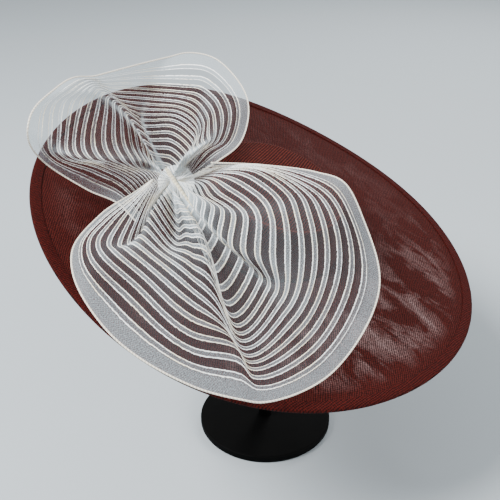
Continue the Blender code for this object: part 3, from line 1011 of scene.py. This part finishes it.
    def crown(self) -> None:
        """Low cap turned from its line, hollow and open below."""
        shape = self.shape
        outer = self.crown_line()
        inner = []
        for i, (radius, height) in enumerate(outer):
            before, after = outer[max(i - 1, 0)], outer[min(i + 1, len(outer) - 1)]
            run = Vector((after[0] - before[0], after[1] - before[1])).normalized()
            inner.append((max(radius - run.y * shape.crown_wall, 0.0), height + run.x * shape.crown_wall))
        inner[0] = (outer[0][0] - shape.crown_wall, outer[0][1])
        inner[-1] = (0.0, outer[-1][1] - shape.crown_wall)
        bm = bmesh.new()
        verts = [bm.verts.new((radius, 0.0, height)) for radius, height in outer + inner[::-1]]
        pole = len(outer) - 1
        pairs = [(verts[i - 1], verts[i]) for i in range(len(verts)) if i != pole + 1]
        edges = [bm.edges.new(pair) for pair in pairs]
        self.spin_round(bm, verts + edges, self.crown_steps)
        bmesh.ops.dissolve_degenerate(bm, edges=bm.edges, dist=WELD)
        bmesh.ops.recalc_face_normals(bm, faces=bm.faces)
        self.lay_uv(bm, drawn=1.0)
        self.pose(bm)
        cloth = StrawCloth(
            "burgundy_sinamay_crown",
            turn=22,
            pitch_mm=2.6,
            uneven_mm=1.6,
            rib=0.95,
            thread="541A10",
            hollow="080000",
            # Darker painted sheen on the crown.
            painted_sheen="5A302B",
            # Radius of the painted highlight round the crown's top edge.
            rim_highlight_mm=68.0,
        ).make()
        finish_piece("hat_crown", bm, cloth, "crown")


# Rows: name, root, side, then bearing, reach and lift near the seam, half way, further and at
# the free edge.
FRONT_FOLDS = (
    Fold("end under", 0.00, 1.0, (163, 0.08, 0.18), (176, 0.11, 0.18), (182, 0.13, 0.18), (168, 0.13, 0.16)),
    Fold("left near", 0.06, 1.0, (191, 0.08, 0.17), (213, 0.15, 0.19), (210, 0.19, 0.17), (197, 0.19, 0.14)),
    Fold("left panel", 0.12, 1.0, (220, 0.13, 0.12), (240, 0.32, 0.18), (228, 0.40, 0.14), (217, 0.38, 0.10)),
    Fold("left valley", 0.18, 1.0, (223, 0.12, 0.10), (247, 0.44, 0.15), (235, 0.53, 0.14), (229, 0.56, 0.06)),
    Fold("left crest", 0.24, 1.0, (239, 0.19, 0.17), (251, 0.46, 0.18), (243, 0.61, 0.17), (241, 0.68, 0.09)),
    Fold("front left", 0.40, 1.0, (272, 0.22, 0.10), (262, 0.49, 0.18), (259, 0.64, 0.13), (257, 0.79, 0.07)),
    Fold("front bulge", 0.66, 1.0, (282, 0.32, 0.19), (280, 0.60, 0.17), (281, 0.80, 0.11), (281, 0.95, 0.07)),
    Fold("bulge ridge", 0.90, 1.0, (293, 0.37, 0.19), (289, 0.71, 0.16), (293, 0.84, 0.10), (291, 1.01, 0.07)),
    Fold("deep valley", 1.00, 0.5, (298, 0.53, 0.06), (296, 0.78, 0.06), (296, 0.90, 0.06), (296, 1.03, 0.06)),
    Fold("right ridge", 1.00, -0.5, (312, 0.52, 0.16), (311, 0.76, 0.17), (313, 0.90, 0.12), (315, 1.02, 0.07)),
    Fold("right panel", 0.90, -1.0, (300, 0.45, 0.27), (322, 0.66, 0.30), (332, 0.80, 0.28), (338, 0.94, 0.23)),
    Fold("right crest", 0.70, -1.0, (308, 0.34, 0.33), (332, 0.53, 0.39), (345, 0.67, 0.38), (354, 0.79, 0.33)),
    Fold("upper right", 0.50, -1.0, (311, 0.27, 0.31), (340, 0.45, 0.18), (353, 0.58, 0.17), (4, 0.68, 0.17)),
    Fold("top panel", 0.33, -1.0, (316, 0.17, 0.27), (354, 0.30, 0.16), (3, 0.44, 0.15), (14, 0.57, 0.13)),
    Fold("top near", 0.15, -1.0, (345, 0.08, 0.24), (15, 0.19, 0.08), (24, 0.29, 0.08), (28, 0.39, 0.06)),
    Fold("end over", 0.00, -1.0, (107, 0.03, 0.21), (342, 0.02, 0.26), (356, 0.05, 0.30), (15, 0.09, 0.24)),
)
BACK_FOLDS = (
    Fold("end front", 0.00, 1.0, (149, 0.11, 0.13), (187, 0.12, 0.10), (207, 0.15, 0.07), (222, 0.20, 0.04)),
    Fold("front near", 0.15, 1.0, (141, 0.17, 0.13), (178, 0.18, 0.15), (192, 0.22, 0.13), (200, 0.24, 0.06)),
    Fold("front panel", 0.30, 1.0, (141, 0.23, 0.12), (189, 0.33, 0.23), (189, 0.37, 0.19), (183, 0.39, 0.05)),
    Fold("front lip", 0.45, 1.0, (149, 0.24, 0.17), (197, 0.43, 0.29), (191, 0.52, 0.23), (180, 0.58, 0.11)),
    Fold("left wall", 0.62, 1.0, (143, 0.33, 0.20), (175, 0.47, 0.29), (186, 0.57, 0.32), (190, 0.67, 0.34)),
    Fold("left top", 0.78, 1.0, (147, 0.35, 0.29), (165, 0.49, 0.37), (174, 0.59, 0.37), (183, 0.66, 0.39)),
    Fold("left crest", 0.90, 1.0, (146, 0.38, 0.32), (164, 0.48, 0.43), (166, 0.55, 0.42), (169, 0.62, 0.41)),
    Fold("back left", 1.00, 0.7, (119, 0.49, 0.16), (129, 0.59, 0.24), (134, 0.62, 0.30), (137, 0.65, 0.32)),
    Fold("deep crease", 1.00, -0.7, (108, 0.60, 0.06), (105, 0.77, 0.10), (104, 0.84, 0.16), (101, 0.98, 0.21)),
    Fold("back right", 0.90, -1.0, (102, 0.46, 0.18), (98, 0.63, 0.21), (96, 0.78, 0.23), (95, 1.03, 0.24)),
    Fold("right crest", 0.60, -1.0, (90, 0.23, 0.28), (91, 0.43, 0.32), (89, 0.68, 0.31), (86, 0.97, 0.29)),
    Fold("right wall", 0.40, -1.0, (89, 0.17, 0.28), (84, 0.34, 0.32), (81, 0.60, 0.32), (77, 0.83, 0.30)),
    Fold("right lip", 0.22, -1.0, (100, 0.11, 0.28), (79, 0.21, 0.31), (73, 0.46, 0.33), (69, 0.68, 0.29)),
    Fold("right low", 0.12, -1.0, (98, 0.10, 0.245), (70, 0.14, 0.29), (65, 0.30, 0.06), (57, 0.41, 0.04)),
    Fold("right near", 0.05, -1.0, (95, 0.11, 0.21), (80, 0.12, 0.26), (66, 0.13, 0.24), (45, 0.18, 0.05)),
    Fold("end back", 0.00, -1.0, (97, 0.10, 0.18), (88, 0.11, 0.18), (80, 0.12, 0.17), (75, 0.13, 0.15)),
)


@dataclass
class Bow:
    """Two fans of tucked crinoline, gathered along one seam beside the crown."""

    shape: HatShape
    width: float = 0.216
    stations: tuple[float, ...] = (0.0, 0.35, 0.65, 0.85, 1.0)
    seam_back: Place = Place(168, 0.184, 0.125)
    seam_middle: Place = Place(191, 0.088, 0.165)
    seam_front: Place = Place(224, 0.058, 0.165)
    centre: Place = Place(200.3, 0.060, 0.0)
    knot_half_width: float = 0.0030
    roll_start: float = 0.34
    roll_end: float = 0.88
    roll_half_width: float = 0.0027
    roll_half_height: float = 0.0014
    roll_lift: float = 0.0016
    roll_length_mm: float = 45.0
    roll_sides: int = 20
    roll_steps: int = 90
    roll_taper: float = 0.6
    roll_creases: float = 29.0
    pad_share: float = 0.52
    pad_half: tuple[float, float, float] = (0.0165, 0.0190, 0.0012)
    pad_drop: float = 0.0036
    pad_slope: tuple[float, float] = (0.42, 0.24)
    pad_inset: float = 0.005
    pad_gathers: int = 30
    pad_relief: float = 0.25
    pinch: float = 0.05
    spread: float = 0.30
    drop: float = 0.004
    clearance: float = 0.0004
    steps_along: int = 440
    edge_samples: int = 4000
    by_fold_share: float = 0.4
    slack: float = 0.8
    densest: float = 8.0
    density_power: float = 1.15
    edge_rows_mm: tuple[float, ...] = (0.0, 3.0, 6.5, 10.0)
    tuck_line_height: float = 0.00055
    tuck_height: float = 0.0003
    pleat_mm: float = 19.0
    pleat_depth: float = 0.0004
    pleat_reach: float = 0.20
    cord_radius: float = 0.0008
    cord_sides: int = 8

    def build(self) -> None:
        """Build and dress the rolled seam, its allowance, the two fans and their edge cords."""
        crin = Crinoline("white_crinoline_tucked").make()
        # The roll and the allowance use the cord's finish, so they carry its painted groove shade too.
        roll = TwistedThread("cream_rolled_seam", light="DDD5BC", painted_groove_shade="B9AF93").make()
        gathers = TwistedThread("white_gathered_allowance", light="EEF1F1", painted_groove_shade="8E979B").make()
        cord = TwistedThread("cream_edge_cord").make()
        self.knot(roll)
        self.allowance(gathers)
        for name, folds, half in (("front", FRONT_FOLDS, Half.FRONT), ("back", BACK_FOLDS, Half.BACK)):
            self.fan(name, folds, half, crin, cord)

    def place(self, spot: Place) -> np.ndarray:
        """Point of the hat's frame that a Place names.

        Args:
            spot: the place.

        Returns:
            The point.
        """
        bearing = math.radians(spot.bearing)
        radius = self.shape.base_radius + spot.outside * self.width
        x, y = radius * math.cos(bearing), radius * math.sin(bearing)
        return np.array((x, y, self.shape.height(x, y) + spot.lift * self.width))

    def seam(self, share: float) -> Vector:
        """Point of the seam, from its back end (0) to its front end (1).

        Args:
            share: place along the seam.

        Returns:
            The point.
        """
        places = [self.place(p) for p in (self.seam_back, self.seam_middle, self.seam_front)]
        return Vector(smooth_curve((0.0, 0.5, 1.0), places, [share])[0])

    def seam_frame(self, share: float) -> tuple[Vector, Vector]:
        """Directions along the seam towards its front end, and outwards from the crown.

        Args:
            share: place along the seam.

        Returns:
            The two directions, both level in the hat's frame.
        """
        along = self.seam(min(share + 0.02, 1.0)) - self.seam(max(share - 0.02, 0.0))
        ahead = Vector((along.x, along.y, 0.0)).normalized()
        return ahead, Vector((ahead.y, -ahead.x, 0.0))

    def root(self, half: Half, root: float, side: float) -> Vector:
        """Point where a fold leaves the seam.

        Args:
            half: half of the seam.
            root: place along that half, from the seam's middle (0) to its end (1).
            side: side of the seam, the brim's (1) or the crown's (-1).

        Returns:
            The point.
        """
        share = 0.5 + half.value * 0.5 * (self.pinch + self.spread * root)
        ahead, outward = self.seam_frame(share)
        clear = self.knot_half_width + self.clearance
        past = ahead * clear * math.sqrt(1 - side**2) * half.value
        return self.seam(share) + past + outward * clear * side - Vector((0, 0, self.drop * root**2))

    def net(self, folds: tuple[Fold, ...], half: Half) -> np.ndarray:
        """Points of a fan: a row for each fold and a column for each station.

        Args:
            folds: the fan's folds.
            half: the half of the seam that it leaves from.

        Returns:
            The points.
        """
        centre = self.place(self.centre)
        rows = []
        for fold in folds:
            row = [np.array(self.root(half, fold.root, fold.side))]
            for bearing, reach, lift in (fold.near, fold.middle, fold.far, fold.edge):
                angle = math.radians(bearing)
                x = centre[0] + reach * self.width * math.cos(angle)
                y = centre[1] + reach * self.width * math.sin(angle)
                row.append(np.array((x, y, self.shape.height(x, y) + lift * self.width)))
            rows.append(row)
        return np.array(rows)

    def rows_mm(self) -> list[float]:
        """Rows of the sheet, in millimetres from the free edge, close together at each tuck.

        Returns:
            Distances from the free edge.
        """
        rows = list(self.edge_rows_mm)
        for tuck in range(TUCKS):
            middle = FIRST_TUCK_MM + tuck * TUCK_PITCH_MM
            for step in (-1.0, 1.0):
                line = middle + step * TUCK_HALF_MM
                rows += [line - LINE_HALF_MM, line, line + LINE_HALF_MM]
            rows += [middle, middle + TUCK_PITCH_MM / 2]
        return sorted(row for row in rows if row < self.width / MM) + [self.width / MM]

    def relief(self, row_mm: float) -> float:
        """Height of the tucks above the sheet at a distance from the free edge.

        Args:
            row_mm: distance from the free edge in millimetres.

        Returns:
            The height.
        """
        turn = (row_mm - FIRST_TUCK_MM + TUCK_PITCH_MM / 2) % TUCK_PITCH_MM - TUCK_PITCH_MM / 2
        if row_mm < FIRST_TUCK_MM - TUCK_PITCH_MM / 2 or abs(turn) > TUCK_HALF_MM + LINE_HALF_MM * 0.9:
            return 0.0
        return self.tuck_line_height if abs(abs(turn) - TUCK_HALF_MM) < 0.01 else self.tuck_height

    def surface(
        self, folds: tuple[Fold, ...], half: Half, rows_mm: list[float]
    ) -> tuple[np.ndarray, np.ndarray]:
        """Points of a fan's sheet and their lengths along the free edge.

        Args:
            folds: the fan's folds.
            half: the half of the seam that it leaves from.
            rows_mm: distances of the rows from the free edge.

        Returns:
            Points by row and step, and the length in millimetres at each step.
        """
        net = self.net(folds, half)
        steps = np.linalg.norm(np.diff(net[:, (2, 4)], axis=0), axis=2).mean(axis=1)
        positions = np.concatenate(([0.0], np.cumsum(np.maximum(steps, self.width * 0.02))))
        across = 1 - np.array(rows_mm) * MM / self.width
        rows = smooth_curve(self.stations, net.transpose(1, 0, 2), across)
        even = np.interp(np.linspace(0, len(folds) - 1, self.edge_samples), range(len(folds)), positions)
        edge = smooth_curve(positions, rows[0], even)
        lengths = np.concatenate(([0.0], np.cumsum(np.linalg.norm(np.diff(edge, axis=0), axis=1))))
        by_fold = np.linspace(0, 1, len(even))
        blend = (1 - self.by_fold_share) * lengths / lengths[-1] + self.by_fold_share * by_fold
        at = np.interp(np.linspace(0, 1, self.steps_along + 1), blend, even)
        points = smooth_curve(positions, rows.transpose(1, 0, 2), at).transpose(1, 0, 2)
        return points, np.interp(at, even, lengths) / MM

    def pleats(self, inward: np.ndarray, lengths: np.ndarray) -> np.ndarray:
        """Height of the small pleats that the gathering thread draws up.

        Args:
            inward: place of each row, from the seam (0) to the free edge (1).
            lengths: place of each step along the strip, in millimetres.

        Returns:
            Heights by row and step.
        """
        fade = np.clip(1 - inward / self.pleat_reach, 0, 1) ** 1.6 * np.clip(inward / 0.03, 0, 1)
        swing = 2.2 * np.sin(lengths / 83.0) + 1.3 * np.sin(lengths / 31.0 + 1.0)
        pleat = np.sin(lengths / self.pleat_mm * math.tau + swing)
        uneven = 0.65 + 0.35 * np.sin(lengths / 47.0 + 2.0)
        return self.pleat_depth * fade[:, None] * (pleat * uneven)[None, :]

    def drawn_up(self, points: np.ndarray, lengths: np.ndarray) -> np.ndarray:
        """How densely the threads cover each point: 1 where flat, more where they are drawn up.

        Args:
            points: the sheet's points by row and step.
            lengths: place of each step along the strip, in millimetres.

        Returns:
            Density by row and step.
        """
        flat = np.gradient(lengths) * MM
        real = np.linalg.norm(np.gradient(points, axis=1), axis=2)
        closer = self.slack * flat[None, :] / np.maximum(real, 1e-5)
        return np.clip(closer, 1.0, self.densest) ** self.density_power

    def fan(
        self,
        name: str,
        folds: tuple[Fold, ...],
        half: Half,
        crin: bpy.types.Material,
        cord: bpy.types.Material,
    ) -> None:
        """One fan: the tucked sheet with gathers at its root, and the cord on its free edge.

        Args:
            name: the fan's name.
            folds: its folds.
            half: the half of the seam that it leaves from.
            crin: finish of the sheet.
            cord: finish of the cord.
        """
        rows_mm = self.rows_mm()
        points, lengths = self.surface(folds, half, rows_mm)
        normals = np.cross(np.gradient(points, axis=1), np.gradient(points, axis=0))
        normals /= np.maximum(np.linalg.norm(normals, axis=2, keepdims=True), 1e-9)
        raised = np.array([self.relief(row) for row in rows_mm])
        inward = 1 - np.array(rows_mm) * MM / self.width
        pleats = self.pleats(inward, lengths)
        lifted = points + normals * (raised[:, None] + pleats)[:, :, None]
        drawn = self.drawn_up(points, lengths)
        bm = bmesh.new()
        strips, steps = len(rows_mm) - 1, self.steps_along
        bmesh.ops.create_grid(bm, x_segments=steps, y_segments=strips, size=0.5, calc_uvs=False)
        for layer in ("strip_mm", "drawn_up"):
            bm.loops.layers.uv.new(layer)
        strip_layer, drawn_layer = (bm.loops.layers.uv[layer] for layer in ("strip_mm", "drawn_up"))
        place, density = {}, {}
        for vert in bm.verts:
            i, j = round((vert.co.x + 0.5) * steps), round((vert.co.y + 0.5) * strips)
            place[vert.index] = (lengths[i], rows_mm[j])
            density[vert.index] = (drawn[j, i], 0.0)
            vert.co = lifted[j, i]
        for face in bm.faces:
            for loop in face.loops:
                loop[strip_layer].uv = place[loop.vert.index]
                loop[drawn_layer].uv = density[loop.vert.index]
        bmesh.ops.transform(bm, matrix=self.shape.pose(), verts=bm.verts)
        sheet = finish_piece(f"bow_{name}_fan", bm, crin, f"bow_{name}_loop")
        edge = self.cord(f"bow_{name}_edge_cord", points[0], lengths, cord)

    def cord(
        self, name: str, line: np.ndarray, lengths: np.ndarray, material: bpy.types.Material
    ) -> bpy.types.Object:
        """Round cord along a line of points.

        Args:
            name: the cord's name.
            line: points in the hat's frame.
            lengths: length along the cord at each point, in millimetres.
            material: the cord's finish.

        Returns:
            The cord.
        """
        turns = self.cord_sides
        ahead = np.gradient(line, axis=0)
        ahead /= np.linalg.norm(ahead, axis=1, keepdims=True)
        side = np.cross(ahead, np.array((0.0, 0.0, 1.0)))
        side /= np.maximum(np.linalg.norm(side, axis=1, keepdims=True), 1e-6)
        over = np.cross(side, ahead)
        bm = bmesh.new()
        bmesh.ops.create_grid(bm, x_segments=len(line) - 1, y_segments=turns, size=0.5, calc_uvs=False)
        layer = bm.loops.layers.uv.new("cord_mm")
        place = {}
        for vert in bm.verts:
            i, j = round((vert.co.x + 0.5) * (len(line) - 1)), round((vert.co.y + 0.5) * turns)
            angle = math.tau * j / turns
            place[vert.index] = (lengths[i], j / turns)
            vert.co = line[i] + self.cord_radius * (math.cos(angle) * side[i] + math.sin(angle) * over[i])
        for face in bm.faces:
            for loop in face.loops:
                loop[layer].uv = place[loop.vert.index]
        bmesh.ops.remove_doubles(bm, verts=bm.verts, dist=WELD)
        bmesh.ops.holes_fill(bm, edges=[edge for edge in bm.edges if edge.is_boundary], sides=turns)
        bmesh.ops.recalc_face_normals(bm, faces=bm.faces)
        bmesh.ops.transform(bm, matrix=self.shape.pose(), verts=bm.verts)
        return finish_piece(name, bm, material)

    def knot(self, material: bpy.types.Material) -> None:
        """Flat roll of cloth over the gathers, from the back loop to the front end of the seam.

        Args:
            material: its finish.
        """
        bm = bmesh.new()
        bmesh.ops.create_cone(
            bm, cap_ends=True, segments=self.roll_sides, radius1=1.0, radius2=1.0, depth=1.0
        )
        lengthwise = [edge for edge in bm.edges if abs(edge.verts[0].co.z - edge.verts[1].co.z) > 0.5]
        bmesh.ops.subdivide_edges(bm, edges=lengthwise, cuts=self.roll_steps - 1, use_grid_fill=True)
        layer = bm.loops.layers.uv.new("cord_mm")
        for face in bm.faces:
            for loop in face.loops:
                co = loop.vert.co
                loop[layer].uv = ((co.z + 0.5) * self.roll_length_mm, math.atan2(co.y, co.x) / math.tau)
        for vert in bm.verts:
            run = vert.co.z + 0.5
            share = self.roll_start + (self.roll_end - self.roll_start) * run
            outward = self.seam_frame(share)[1]
            taper = math.sqrt(max(0.06, 1 - (2 * run - 1) ** 4)) * (1.1 - self.roll_taper * run)
            crease = 1 + 0.10 * math.sin(run * self.roll_creases + 2 * vert.co.x)
            middle = self.seam(share) + Vector((0, 0, self.roll_lift))
            side = outward * vert.co.x * self.roll_half_width * taper * crease
            vert.co = middle + side + Vector((0, 0, vert.co.y * self.roll_half_height * taper * crease))
        bmesh.ops.recalc_face_normals(bm, faces=bm.faces)
        bmesh.ops.transform(bm, matrix=self.shape.pose(), verts=bm.verts)
        finish_piece("bow_seam", bm, material, "bow_knot")

    def allowance(self, material: bpy.types.Material) -> None:
        """Flat pad of gathered seam allowance, under the roll and between the two fans.

        Args:
            material: its finish.
        """
        ahead, outward = self.seam_frame(self.pad_share)
        middle = self.seam(self.pad_share) - outward * self.pad_inset - Vector((0, 0, self.pad_drop))
        across, along, tall = self.pad_half
        bm = bmesh.new()
        bmesh.ops.create_uvsphere(bm, u_segments=96, v_segments=16, radius=1.0)
        # The cord finish's painted groove shade lies in stripes between the gathers.
        layer = bm.loops.layers.uv.new("cord_mm")
        for face in bm.faces:
            for loop in face.loops:
                turn = math.atan2(loop.vert.co.y, loop.vert.co.x)
                loop[layer].uv = (turn * self.pad_gathers * TwistedThread.twist_mm / math.tau, 0.0)
        for vert in bm.verts:
            x, y, z = vert.co
            gather = 1 + self.pad_relief * math.sin(self.pad_gathers * math.atan2(y, x))
            fall = self.pad_slope[0] * x * across + self.pad_slope[1] * y * along
            lift = Vector((0, 0, z * tall * gather - fall))
            vert.co = middle + outward * x * across + ahead * y * along + lift
        bmesh.ops.transform(bm, matrix=self.shape.pose(), verts=bm.verts)
        finish_piece("bow_seam_allowance", bm, material)


@dataclass
class Stand:
    """Plain stand: steel foot and post, and a wooden plate under the crown."""

    shape: HatShape
    foot_radius: float = 0.073
    foot_height: float = 0.008
    foot_edge: float = 0.002
    post_radius: float = 0.007
    plate_radius: float = 0.050
    plate_height: float = 0.006
    plate_edge: float = 0.0015
    disc_steps: int = 128
    post_steps: int = 48

    def build(self) -> None:
        """Build and dress the foot, the post and the plate."""
        steel = PaintedSteel("satin_black_steel").make()
        beech = StainedBeech("black_stained_beech").make()
        foot = self.disc(self.foot_radius, self.foot_height, self.foot_edge)
        finish_piece("stand_foot_disc", foot, steel, "stand_foot")
        lift = self.shape.plate_lift(self.plate_radius, self.plate_height)
        plate = self.disc(self.plate_radius, self.plate_height, self.plate_edge)
        bmesh.ops.translate(plate, verts=plate.verts, vec=(0, 0, lift))
        bmesh.ops.transform(plate, matrix=self.shape.pose(), verts=plate.verts)
        finish_piece("stand_top_plate", plate, beech, "stand_top")
        self.post(lift, steel)

    def disc(self, radius: float, height: float, edge: float) -> bmesh.types.BMesh:
        """Round plate with rounded edges, standing on zero.

        Args:
            radius: its radius.
            height: its thickness.
            edge: radius of the rounding.

        Returns:
            The mesh.
        """
        bm = bmesh.new()
        bmesh.ops.create_cone(
            bm,
            cap_ends=True,
            segments=self.disc_steps,
            radius1=radius,
            radius2=radius,
            depth=height,
            matrix=Matrix.Translation((0, 0, height / 2)),
        )
        rims = [e for e in bm.edges if abs(e.verts[0].co.z - e.verts[1].co.z) < height / 2]
        bmesh.ops.bevel(bm, geom=rims, offset=edge, segments=4, profile=0.5, affect="EDGES", material=-1)
        bmesh.ops.recalc_face_normals(bm, faces=bm.faces)
        for face in list(bm.faces):
            if len(face.verts) > 4:
                bmesh.ops.inset_region(bm, faces=[face], thickness=0.001, use_even_offset=True)
        return bm

    def post(self, lift: float, steel: bpy.types.Material) -> None:
        """Round post from the foot to the plate, cut to the plate's slope.

        Args:
            lift: height of the plate's underside in the hat's frame.
            steel: the post's finish.
        """
        pose = self.shape.pose()
        up = (pose.to_3x3() @ Vector((0, 0, 1))).normalized()
        seat = Vector(self.shape.centre) + up * (lift - GAP)
        foot_top = self.foot_height + GAP
        tall = seat.z + self.post_radius * 2 - foot_top
        bm = bmesh.new()
        bmesh.ops.create_cone(
            bm,
            cap_ends=True,
            segments=self.post_steps,
            radius1=self.post_radius,
            radius2=self.post_radius,
            depth=tall,
            matrix=Matrix.Translation((0, 0, foot_top + tall / 2)),
        )
        geom = bm.verts[:] + bm.edges[:] + bm.faces[:]
        cut = bmesh.ops.bisect_plane(bm, geom=geom, plane_co=seat, plane_no=up, clear_outer=True)
        rim = [part for part in cut["geom_cut"] if isinstance(part, bmesh.types.BMEdge)]
        bmesh.ops.contextual_create(bm, geom=rim)
        bmesh.ops.recalc_face_normals(bm, faces=bm.faces)
        post = finish_piece("stand_post_rod", bm, steel, "stand_post")
        post.data.set_sharp_from_angle(angle=math.radians(50))


@dataclass
class Studio:
    """Pale floor, soft lights and the camera."""

    eye: tuple[float, float, float] = (-0.0171, -0.7212, 0.6048)
    look_down: float = 28.2
    lens: float = 58.03
    aim: tuple[float, float, float] = (0.0, 0.0, 0.22)
    floor_radius: float = 14.0
    paper: str = "AEB6BB"
    sky: str = "DDE4E8"
    sky_strength: float = 0.62

    def build(self) -> None:
        """Set up the floor, the lights and the camera."""
        self.floor()
        self.lights()
        self.camera()

    def floor(self) -> None:
        """Wide plain floor of matt paper."""
        bm = bmesh.new()
        bmesh.ops.create_circle(bm, cap_ends=True, segments=96, radius=self.floor_radius)
        mesh = bpy.data.meshes.new("floor")
        bm.to_mesh(mesh)
        bm.free()
        material, _, shader = new_material("pale_paper_floor")
        shader.inputs["Base Color"].default_value = linear(self.paper)
        shader.inputs["Roughness"].default_value = 0.9
        mesh.materials.append(material)
        floor = bpy.data.objects.new("floor", mesh)
        bpy.context.collection.objects.link(floor)

    def lights(self) -> None:
        """Soft key from the front left, softbox behind on the right, and an even sky."""
        for name, spot, size, power in (
            ("key", (-1.5, -0.7, 2.2), 1.2, 165.0),
            ("back", (0.9, 2.0, 1.6), 1.2, 34.0),
            ("fill", (1.9, -0.8, 0.9), 1.3, 42.0),
        ):
            light = bpy.data.lights.new(name, "AREA")
            light.shape = "DISK"
            light.size = size
            light.energy = power
            lamp = bpy.data.objects.new(name, light)
            bpy.context.collection.objects.link(lamp)
            lamp.location = spot
            lamp.rotation_mode = "QUATERNION"
            lamp.rotation_quaternion = (Vector(self.aim) - Vector(spot)).to_track_quat("-Z", "Y")
        world = bpy.data.worlds.new("studio_sky")
        world.use_nodes = True
        sky = world.node_tree.nodes["Background"]
        sky.inputs["Color"].default_value = linear(self.sky)
        sky.inputs["Strength"].default_value = self.sky_strength
        bpy.context.scene.world = world

    def camera(self) -> None:
        """Camera at the photograph's height and angle."""
        data = bpy.data.cameras.new("camera")
        data.lens = self.lens
        data.sensor_width = 36.0
        camera = bpy.data.objects.new("camera", data)
        bpy.context.collection.objects.link(camera)
        camera.location = self.eye
        camera.rotation_euler = (math.radians(90 - self.look_down), 0, 0)
        bpy.context.scene.camera = camera


def main() -> None:
    """Build the stand, the hat, the bow and the studio, in that order."""
    logging.basicConfig(level=logging.INFO, format="%(message)s")
    shape = HatShape()
    for part in (Stand(shape), StrawHat(shape), Bow(shape), Studio()):
        log.info("building %s", type(part).__name__)
        part.build()


if __name__ == "__main__":
    main()
